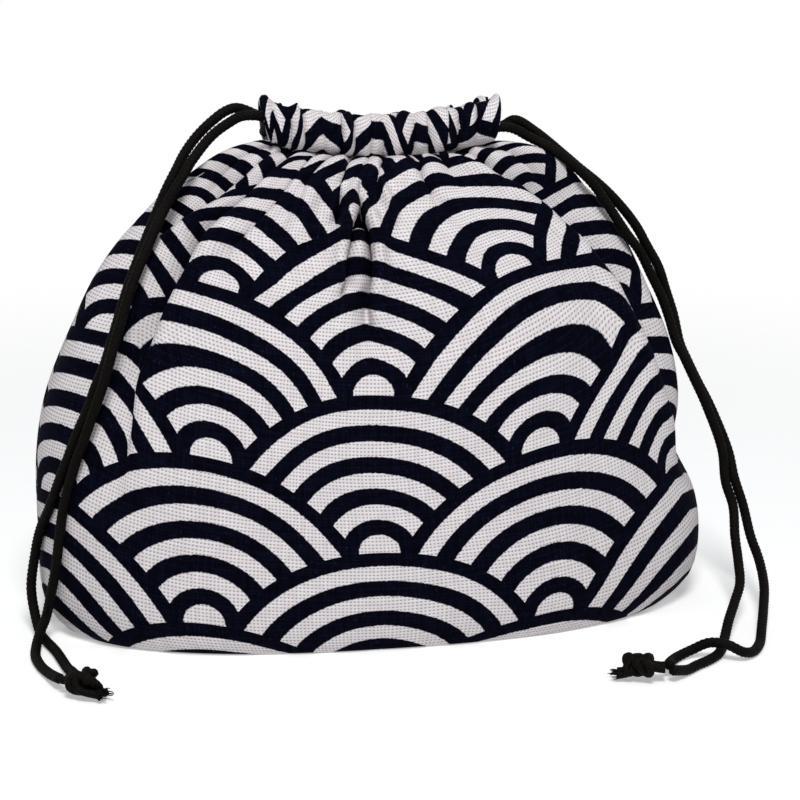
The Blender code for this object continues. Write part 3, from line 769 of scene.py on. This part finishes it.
def fan_radius(graph, x, y, row_step):
    """Distance, in fan radii, to the nearest fan centre of a row; rows are half a radius apart."""
    row = graph.math("ADD", graph.math("FLOOR", y), row_step)
    odd = graph.math("MODULO", graph.math("ADD", row, ROWS_BELOW), 2.0)
    shifted = graph.math("ADD", x, odd)
    column = graph.math("MULTIPLY", graph.math("ROUND", graph.math("MULTIPLY", shifted, 0.5)), 2.0)
    sideways = graph.math("SUBTRACT", shifted, column)
    upward = graph.math("MULTIPLY", graph.math("SUBTRACT", y, row), 0.5)
    square = graph.math("ADD", graph.math("MULTIPLY", sideways, sideways),
                        graph.math("MULTIPLY", upward, upward))
    return graph.math("SQRT", square)


def fan_print(graph, flat, along, up):
    """1 where the print is white and 0 where it is dark; a lower row's fans cover a higher row's."""
    wobble = graph.noise(flat, EDGE_WOBBLE_SCALE, 1.0)
    ragged = graph.math("MULTIPLY", graph.math("SUBTRACT", wobble, 0.5), EDGE_WOBBLE)
    x = graph.math("DIVIDE", graph.math("SUBTRACT", along, FAN_SHIFT[0]), FAN_RADIUS)
    y = graph.math("DIVIDE", graph.math("SUBTRACT", up, FAN_SHIFT[1]), FAN_RADIUS / 2)
    x = graph.math("ADD", x, 1.0)
    below, level, above = [fan_radius(graph, x, y, row_step) for row_step in (-1.0, 0.0, 1.0)]
    upper = graph.choose(graph.math("GREATER_THAN", level, 1.0), level, above)
    radius = graph.choose(graph.math("GREATER_THAN", below, 1.0), below, upper)
    rings = graph.math("ADD", graph.math("MULTIPLY", radius, FAN_RINGS),
                       graph.math("MULTIPLY", ragged, FAN_RINGS))
    within = graph.math("FRACT", rings)
    band = graph.math("MULTIPLY", graph.ramp(within, *WHITE_START), graph.ramp(within, *WHITE_END))
    past_core = graph.math("GREATER_THAN", rings, 1.0)
    return graph.math("MAXIMUM", graph.ramp(rings, *CORE_END), graph.math("MULTIPLY", band, past_core))


def thread_gaps(graph, flat, distance, rate):
    """1 between two threads and -1 on a thread."""
    wander = graph.math("MULTIPLY", graph.streaks(flat, rate), WANDER)
    turned = graph.math("MULTIPLY", distance, 2 * math.pi / THREAD_PITCH)
    return graph.math("COSINE", graph.math("ADD", turned, wander))


def printed_cotton():
    graph = Graph("printed_cotton_look")
    source = graph.nodes.new("ShaderNodeUVMap")
    source.uv_map = "cloth"
    flat = source.outputs["UV"]
    split = graph.nodes.new("ShaderNodeSeparateXYZ")
    graph.links.new(flat, split.inputs[0])
    along, up = split.outputs[0], split.outputs[1]
    white = fan_print(graph, flat, along, up)
    warp = thread_gaps(graph, flat, along, WARP_WANDER)
    weft = thread_gaps(graph, flat, up, WEFT_WANDER)
    gaps = graph.math("ADD", graph.math("MULTIPLY", warp, WARP_SHARE), weft)
    hole = graph.ramp(gaps, *HOLES)
    slub = graph.math("ADD", graph.streaks(flat, WARP_SLUBS, 3.0), graph.streaks(flat, WEFT_SLUBS, 3.0))

    pale = graph.mix(graph.ramp(slub, *PALE_SLUBS), PALE_THIN, PALE_THICK)
    pale = graph.mix(hole, pale, PALE_HOLE)
    dark = graph.mix(graph.ramp(slub, *DARK_SLUBS), DARK_THIN, DARK_THICK)
    dark = graph.mix(graph.math("MULTIPLY", hole, DARK_HOLE_SHARE), dark, DARK_HOLE)
    speck = graph.ramp(graph.streaks(flat, SPECK_RATE, 1.0), *SPECKS)
    dark = graph.mix(graph.math("MULTIPLY", speck, SPECK_SHARE), dark, DARK_SPECK)
    graph.surface(graph.mix(white, dark, pale), roughness=0.92, specular=0.03)
    height = graph.math("SUBTRACT", graph.math("MULTIPLY", slub, SLUB_HEIGHT),
                        graph.math("MULTIPLY", gaps, GAP_DEPTH))
    graph.bump(height, strength=0.55, distance=0.00025)
    return graph.material


def black_braid():
    graph = Graph("black_cord_look")
    coordinates = graph.nodes.new("ShaderNodeTexCoord")
    grain = graph.noise(coordinates.outputs["Object"], BLACK_GRAIN_SCALE)
    colour = graph.mix(graph.ramp(grain, *BLACK_GRAIN), BLACK_LOW, BLACK_HIGH)
    graph.surface(colour, roughness=0.62, specular=0.05)
    graph.bump(grain, strength=0.5, distance=0.00012)
    return graph.material


# Cords
LEFT = -1
RIGHT = 1
CASING_STATIONS = (0.2, 0.6, 0.89)
TURN_STEPS = 6
TURN_REACH = 0.0020
TURN_ROUNDING = 0.8
CORD_FULLNESS = 1.10
BRAID_STRANDS = 6
BRAID_PITCH = 0.0017
BRAID_RELIEF = 0.24
BRAID_ROUNDING = 0.6
CURVE_STEPS = 24
CORD_FLOOR_GAP = 0.0001

# A cord's place in the casing's height
UPPER = 1
LOWER = -1


def casing_route(side, end, level):
    height = level * CHANNEL_HALF
    points = []
    for across in CASING_STATIONS:
        z = CASING_MIDDLE - mouth_dip(side, across * end, STITCH_HEIGHT) + height
        points.append((CASING_WIDTH / 2 * across * end + CASING_SHIFT, side * CASING_PLANE, z))
    return points


def turn_route(end, level):
    """The bend in which a cord passes from one casing to the other, tucked in behind the cloth."""
    start = np.array(casing_route(FRONT, end, level)[-1])
    finish = np.array(casing_route(BACK, end, level)[-1])
    points = []
    for step in range(TURN_STEPS + 1):
        angle = math.pi * (step / TURN_STEPS - 0.5)
        middle = start + (finish - start) * (0.5 + 0.5 * math.sin(angle))
        points.append(middle + [end * TURN_REACH * max(math.cos(angle), 0) ** TURN_ROUNDING, 0, 0])
    return points


def even_curve(points, step):
    """Evenly spaced points on a centripetal Catmull-Rom curve, and the distance to each given point."""
    points = np.array(points, float)
    padded = np.concatenate([[2 * points[0] - points[1]], points, [2 * points[-1] - points[-2]]])
    fine = []
    for corners in zip(padded, padded[1:], padded[2:], padded[3:]):
        spans = [math.sqrt(np.linalg.norm(b - a)) for a, b in zip(corners, corners[1:])]
        knots = np.concatenate([[0], np.cumsum(spans)])
        at = np.linspace(knots[1], knots[2], CURVE_STEPS + 1)[:-1, None]

        def blend(first, second, low, high):
            return first + (second - first) * (at - knots[low]) / (knots[high] - knots[low])

        near = [blend(corners[i], corners[i + 1], i, i + 1) for i in range(3)]
        far = [blend(near[i], near[i + 1], i, i + 2) for i in range(2)]
        fine.append(blend(far[0], far[1], 1, 2))
    fine = np.concatenate(fine + [points[-1:]])
    run = run_along(fine)
    count = max(int(round(run[-1] / step)), 2)
    target = np.linspace(0, run[-1], count + 1)
    even = np.stack([np.interp(target, run, fine[:, axis]) for axis in range(3)], -1)
    return even, run[::CURVE_STEPS]


def braid_height(around, along):
    """Relief of a diamond braid, 0 in its grooves and 1 on its strands."""
    first = BRAID_STRANDS * around + along / BRAID_PITCH
    second = BRAID_STRANDS * around - along / BRAID_PITCH
    over = (np.floor(first) + np.floor(second)) % 2 == 0
    one = np.sin(math.pi * (first % 1))
    two = np.sin(math.pi * (second % 1))
    return np.where(over, one ** BRAID_ROUNDING * (0.5 + 0.5 * two),
                    two ** BRAID_ROUNDING * (0.5 + 0.5 * one))


def tube_frames(path):
    """Two directions square to the path at each point, carried along it without twist."""
    tangent = np.gradient(path, axis=0)
    tangent /= np.linalg.norm(tangent, axis=1, keepdims=True)
    side = np.cross(tangent[0], (0.0, 0.0, 1.0))
    if np.linalg.norm(side) < 0.1:
        side = np.cross(tangent[0], (1.0, 0.0, 0.0))
    sides = []
    for direction in tangent:
        side = side - direction * np.dot(side, direction)
        side = side / np.linalg.norm(side)
        sides.append(side)
    sides = np.array(sides)
    return sides, np.cross(tangent, sides)


def tube_points(path, radius, sides_count, relief):
    side, up = tube_frames(path)
    around = np.arange(sides_count) / sides_count
    run = run_along(path)
    size = np.broadcast_to(np.asarray(radius, float), (len(path),))[:, None]
    if relief:
        size = size * (1 - relief + relief * braid_height(around[None], run[:, None]))
    angle = 2 * math.pi * around
    offset = side[:, None] * np.cos(angle)[None, :, None] + up[:, None] * np.sin(angle)[None, :, None]
    return path[:, None] + offset * np.broadcast_to(size, (len(path), sides_count))[..., None]


def add_tube(verts, faces, points):
    rings, count = points.shape[:2]
    base = len(verts)
    verts.extend(points.reshape(-1, 3).tolist())
    for ring in range(rings - 1):
        here = base + ring * count
        for step in range(count):
            after = (step + 1) % count
            faces.append((here + step, here + after, here + count + after, here + count + step))
    faces.append(tuple(base + step for step in reversed(range(count))))
    faces.append(tuple(base + (rings - 1) * count + step for step in range(count)))


def mesh_object(name, verts, faces, material):
    data = bpy.data.meshes.new(name)
    data.from_pydata(verts, [], faces)
    data.shade_smooth()
    data.materials.append(material)
    item = bpy.data.objects.new(name, data)
    bpy.context.scene.collection.objects.link(item)
    return item


def braided_tube(name, path, material):
    points = tube_points(path, CORD_DIAMETER / 2 * CORD_FULLNESS, CORD_SIDES, BRAID_RELIEF)
    verts, faces = [], []
    add_tube(verts, faces, points)
    return mesh_object(name, verts, faces, material)


def make_cord(node, front_strand, back_strand, end, level, material):
    """A cord in three pieces: two free strands, and the run between them through both casings."""
    front_run = casing_route(FRONT, end, level)[::-1] + casing_route(FRONT, -end, level)
    back_run = casing_route(BACK, -end, level)[::-1] + casing_route(BACK, end, level)
    hidden = front_run + turn_route(-end, level) + back_run
    path, marks = even_curve([*front_strand[::-1], *hidden, *back_strand], CORD_RING_STEP)
    path[:, 2] = np.maximum(path[:, 2], CORD_DIAMETER / 2 + CORD_FLOOR_GAP)
    run = run_along(path)
    first = marks[len(front_strand)]
    last = marks[len(front_strand) + len(hidden) - 1]
    for label, low, high in (("front", 0.0, first), ("run", first, last), ("back", last, marks[-1])):
        part = path[(run >= low - CORD_RING_STEP / 2) & (run <= high + CORD_RING_STEP / 2)]
        if label == "front":
            part = part[::-1]
        item = braided_tube(f"{node}_{label}", part, material)
        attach(item, "root")
        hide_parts(node)


# A strand's line in the knot, about the knot's middle with X along it: in, round a loop, and out
KNOT_STRAND_RADIUS = 0.00150
KNOT_STRAND_SIDES = 20
KNOT_RELIEF = 0.16
KNOT_STEP = 0.0004
KNOT_FLOOR_GAP = 0.0002
LOOP_CUT = 0.40
LOOP_SAMPLES = 90
LOOP_EVERY = 6
LOOP_LIFT = 1.15
LOOP_SIZE = (0.00150, 0.00142, 0.00185)
LOOP_PLACE = (-0.0012, 0, 0)
STRAND_SWAY = (0.0011, 0.0011, 0.0009)
WAY_IN = (-KNOT_LENGTH / 2 + 0.0002, 0.0016, -0.0006)
WAY_IN_NEXT = (0.8, 1, 1)
WAY_OUT = (KNOT_LENGTH / 2 - 0.0035, 0.0014, -0.0030)
WAY_OUT_BEFORE = (0.75, 1, 1)

# The loose fibres at a strand's cut end
FRAY_FIBRES = 15
FRAY_SPREAD = 0.0008
FRAY_ROOT = 0.0012
FRAY_REACH = (0.0016, 0.0034)
FRAY_FLARE = 0.0007
FRAY_BEND = 0.0005
FRAY_RADII = (0.00034, 0.00012)
FRAY_SIDES = 6
FRAY_FLOOR_GAP = 0.0006


def knot_strand(offset):
    angles = np.linspace(LOOP_CUT, 2 * math.pi - LOOP_CUT, LOOP_SAMPLES)
    loop = np.stack([-(np.cos(angles) - 2 * np.cos(2 * angles)), np.sin(angles) + 2 * np.sin(2 * angles),
                     LOOP_LIFT * np.sin(3 * angles)], -1)
    sway = np.stack([np.sin(2 * angles), np.cos(2 * angles), np.cos(3 * angles)], -1)
    loop = loop * LOOP_SIZE + LOOP_PLACE + offset * sway * STRAND_SWAY
    way_in = np.array(WAY_IN) * [1, offset, 1]
    way_out = np.array(WAY_OUT) * [1, offset, 1]
    return [way_in, way_in * WAY_IN_NEXT, *loop[::LOOP_EVERY], way_out * WAY_OUT_BEFORE, way_out]


def random_way(chance):
    return np.array([chance.uniform(-1, 1) for _ in range(3)])


def add_fray(verts, faces, end, outward, chance):
    for _ in range(FRAY_FIBRES):
        spread = random_way(chance)
        start = end + spread * FRAY_SPREAD - outward * FRAY_ROOT
        reach = chance.uniform(*FRAY_REACH)
        tip = start + outward * reach + spread * FRAY_FLARE
        bend = (start + tip) / 2 + random_way(chance) * FRAY_BEND
        fibre, _ = even_curve([start, bend, tip], KNOT_STEP)
        fibre[:, 2] = np.maximum(fibre[:, 2], FRAY_FLOOR_GAP)
        add_tube(verts, faces, tube_points(fibre, np.linspace(*FRAY_RADII, len(fibre)), FRAY_SIDES, 0))


def make_knot(name, place, heading, material, seed):
    """Both strands tied together in one overhand knot, with their cut and frayed ends."""
    chance = random.Random(seed)
    turn = math.radians(heading)
    along = np.array([math.cos(turn), math.sin(turn), 0])
    aside = np.array([-along[1], along[0], 0])
    upright = np.array([0, 0, 1.0])
    middle = np.array([*place, KNOT_HEIGHT / 2 + KNOT_FLOOR_GAP])
    verts, faces = [], []
    for offset in (-1, 1):
        path, _ = even_curve(knot_strand(offset), KNOT_STEP)
        world = middle + path[:, :1] * along + path[:, 1:2] * aside + path[:, 2:] * upright
        points = tube_points(world, KNOT_STRAND_RADIUS, KNOT_STRAND_SIDES, KNOT_RELIEF)
        points[..., 2] = np.maximum(points[..., 2], KNOT_FLOOR_GAP)
        add_tube(verts, faces, points)
        outward = world[-1] - world[-4]
        add_fray(verts, faces, world[-1], outward / np.linalg.norm(outward), chance)
    item = mesh_object(f"{name}_tied", verts, faces, material)
    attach(item, "root")
    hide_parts(name)
    return item


# Floor, backdrop and light
FLOOR_SIZE = 12
FLOOR_COLOUR = (0.93, 0.93, 0.93, 1)
FLOOR_LIFT = 0.36
FLOOR_FADE = (0.22, 0.55)
WORLD_COLOUR = (0.93, 0.97, 1, 1)
WORLD_LIGHT = 0.245
WHITE = (1, 1, 1, 1)
LAMP_AIM = (0, 0, 0.09)
LAMPS = (
    # name, place, size, power
    ("key", (-0.10, -1.02, 1.45), 0.50, 18.8),
    ("fill", (-1.1, -0.9, 0.7), 1.0, 0.2),
)


def add_floor():
    """A floor that takes shadows near the pouch and fades to plain white further away."""
    bpy.ops.mesh.primitive_plane_add(size=FLOOR_SIZE, location=(0, 0, 0))
    floor = bpy.context.object
    floor.name = "floor"
    graph = Graph("floor_look")
    graph.surface(FLOOR_COLOUR, roughness=0.9, specular=0.1)
    shown = graph.nodes.new("ShaderNodeEmission")
    shown.inputs["Color"].default_value = WHITE
    lift = graph.nodes.new("ShaderNodeEmission")
    lift.inputs["Strength"].default_value = FLOOR_LIFT
    near = graph.nodes.new("ShaderNodeAddShader")
    graph.links.new(graph.shader.outputs[0], near.inputs[0])
    graph.links.new(lift.outputs[0], near.inputs[1])
    away = graph.nodes.new("ShaderNodeVectorMath")
    away.operation = "LENGTH"
    place = graph.nodes.new("ShaderNodeTexCoord")
    graph.links.new(place.outputs["Object"], away.inputs[0])
    fade = graph.ramp(away.outputs["Value"], *FLOOR_FADE)
    whole = graph.blend(fade, near.outputs[0], shown.outputs[0])
    seen = graph.nodes.new("ShaderNodeLightPath")
    direct = graph.math("MAXIMUM", seen.outputs["Is Camera Ray"], seen.outputs["Is Glossy Ray"])
    direct = graph.math("MAXIMUM", direct, seen.outputs["Is Transmission Ray"])
    choice = graph.blend(direct, graph.shader.outputs[0], whole)
    graph.links.new(choice, graph.nodes["Material Output"].inputs["Surface"])
    floor.data.materials.append(graph.material)


def add_world():
    """A white backdrop that lights the pouch less than it shows."""
    world = bpy.data.worlds.new("studio")
    bpy.context.scene.world = world
    world.use_nodes = True
    nodes, links = world.node_tree.nodes, world.node_tree.links
    light = nodes["Background"]
    light.inputs["Color"].default_value = WORLD_COLOUR
    light.inputs["Strength"].default_value = WORLD_LIGHT
    shown = nodes.new("ShaderNodeBackground")
    shown.inputs["Color"].default_value = WHITE
    shown.inputs["Strength"].default_value = 1.0
    path = nodes.new("ShaderNodeLightPath")
    pick = nodes.new("ShaderNodeMixShader")
    either = nodes.new("ShaderNodeMath")
    either.operation = "MAXIMUM"
    links.new(path.outputs["Is Camera Ray"], either.inputs[0])
    links.new(path.outputs["Is Glossy Ray"], either.inputs[1])
    links.new(either.outputs[0], pick.inputs[0])
    links.new(light.outputs[0], pick.inputs[1])
    links.new(shown.outputs[0], pick.inputs[2])
    links.new(pick.outputs[0], nodes["World Output"].inputs["Surface"])


def add_lamps():
    for name, place, size, power in LAMPS:
        data = bpy.data.lights.new(name, "AREA")
        data.shape = "DISK"
        data.size = size
        data.energy = power
        item = bpy.data.objects.new(name, data)
        item.location = place
        item.rotation_euler = (Vector(place) - Vector(LAMP_AIM)).to_track_quat("Z", "Y").to_euler()
        bpy.context.scene.collection.objects.link(item)


add_camera()
cord_black = black_braid()
knot_left = make_knot("knot_left", LEFT_KNOT_PLACE, LEFT_KNOT_HEADING, cord_black, seed=5)
knot_right = make_knot("knot_right", RIGHT_KNOT_PLACE, RIGHT_KNOT_HEADING, cord_black, seed=9)
make_cord("drawcord_left", LEFT_FRONT_STRAND, LEFT_BACK_STRAND, LEFT, UPPER, cord_black)
make_cord("drawcord_right", RIGHT_FRONT_STRAND, RIGHT_BACK_STRAND, RIGHT, LOWER, cord_black)
cotton = printed_cotton()
for panel_node, panel_side in (("front_panel", FRONT), ("back_panel", BACK)):
    panel = make_panel(f"{panel_node}_cloth", panel_side, cotton)
    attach(panel, "root")
    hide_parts(panel_node)
add_floor()
add_world()
add_lamps()
bpy.context.scene.view_settings.view_transform = "Standard"
